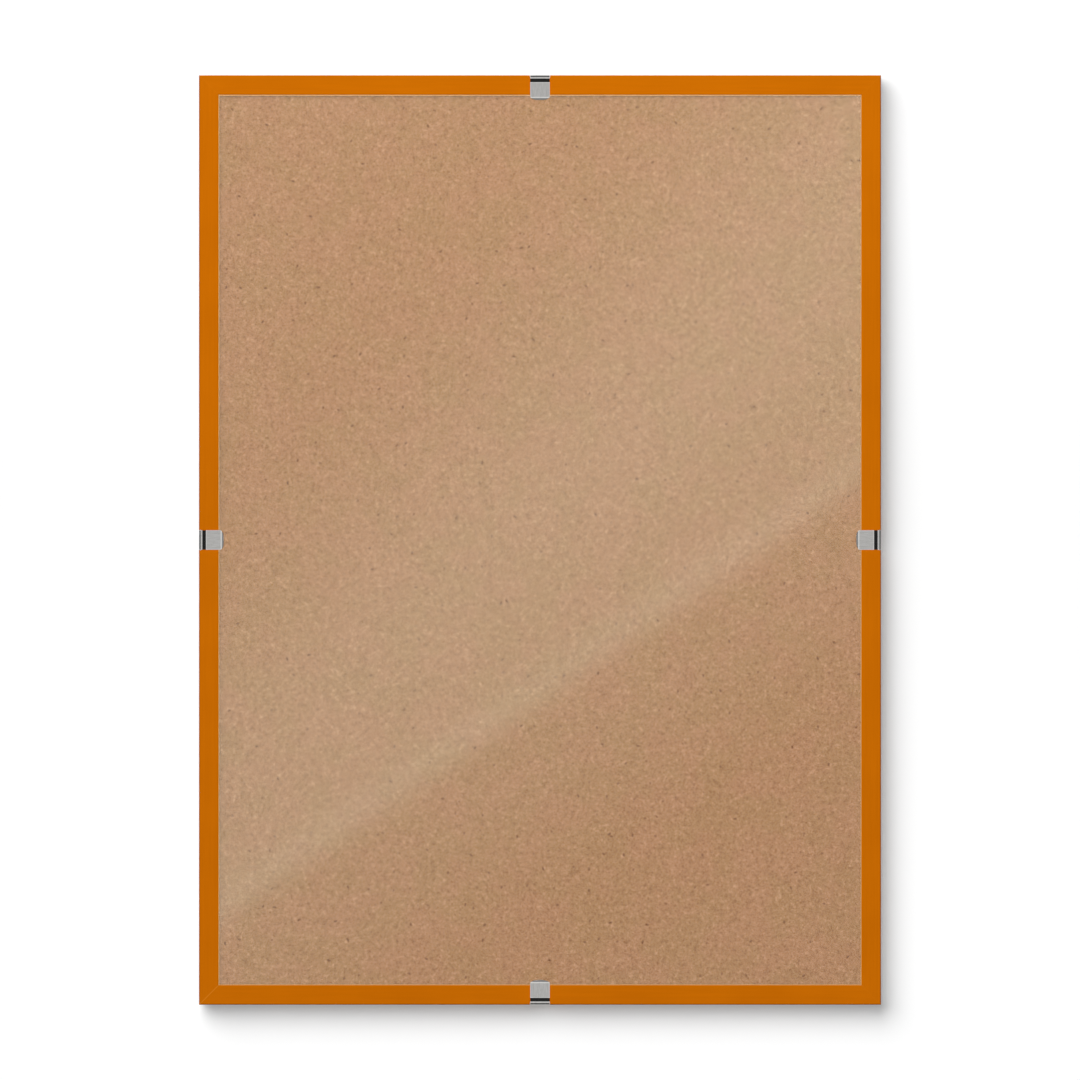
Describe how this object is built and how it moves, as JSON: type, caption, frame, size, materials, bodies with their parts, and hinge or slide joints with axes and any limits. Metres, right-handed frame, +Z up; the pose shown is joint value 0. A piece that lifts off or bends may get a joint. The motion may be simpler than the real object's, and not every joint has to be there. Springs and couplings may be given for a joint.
{
  "type": "clip frame",
  "caption": "Upright wall frame with a mitred painted rim; spring clips at the middle of the sides hook into the back, bend round the edge and press the glass onto a fibre board.",
  "frame": {"origin": "the point on the wall where a nail carries the frame, under the middle notch of the top hanger", "axes": "+X to the right of the viewer, +Y into the wall, +Z up"},
  "size_m": [0.35, 0.0142, 0.477],
  "materials": {
    "rim_paint": "satin orange paint",
    "spring_steel": "plated, satin",
    "fibre_board": "raw, flecked",
    "pane_glass": "clear",
    "hanger_steel": "zinc",
    "pin_steel": "bright",
    "v_nail_steel": "oiled",
    "bumper_rubber": "matt"
  },
  "bodies": {
    "frame": {"rail_top": "rim_paint", "rail_bottom": "rim_paint", "rail_left": "rim_paint", "rail_right": "rim_paint", "v_nail_top_left": "v_nail_steel", "v_nail_top_right": "v_nail_steel", "v_nail_bottom_left": "v_nail_steel", "v_nail_bottom_right": "v_nail_steel", "back_board": "fibre_board", "glass_pane": "pane_glass", "hanger_top": "hanger_steel", "hanger_left": "hanger_steel", "hanger_pin_top_1": "pin_steel", "hanger_pin_top_2": "pin_steel", "hanger_pin_left_1": "pin_steel", "hanger_pin_left_2": "pin_steel", "bumper_top_left": "bumper_rubber", "bumper_top_right": "bumper_rubber", "bumper_bottom_left": "bumper_rubber", "bumper_bottom_right": "bumper_rubber"},
    "clip_top": {"clip_top": "spring_steel"},
    "clip_bottom": {"clip_bottom": "spring_steel"},
    "clip_left": {"clip_left": "spring_steel"},
    "clip_right": {"clip_right": "spring_steel"}
  },
  "joints": [
    {"name": "clip_top_hinge", "type": "hinge", "parent": "frame", "child": "clip_top", "pos_m": [0, -0.004, 0.01244], "axis": [-1, 0, 0], "range_deg": [0, 75]},
    {"name": "clip_bottom_hinge", "type": "hinge", "parent": "frame", "child": "clip_bottom", "pos_m": [0, -0.004, -0.45884], "axis": [1, 0, 0], "range_deg": [0, 75]},
    {"name": "clip_left_hinge", "type": "hinge", "parent": "frame", "child": "clip_left", "pos_m": [-0.17214, -0.004, -0.2232], "axis": [0, 0, -1], "range_deg": [0, 75]},
    {"name": "clip_right_hinge", "type": "hinge", "parent": "frame", "child": "clip_right", "pos_m": [0.17214, -0.004, -0.2232], "axis": [0, 0, 1], "range_deg": [0, 75]}
  ]
}
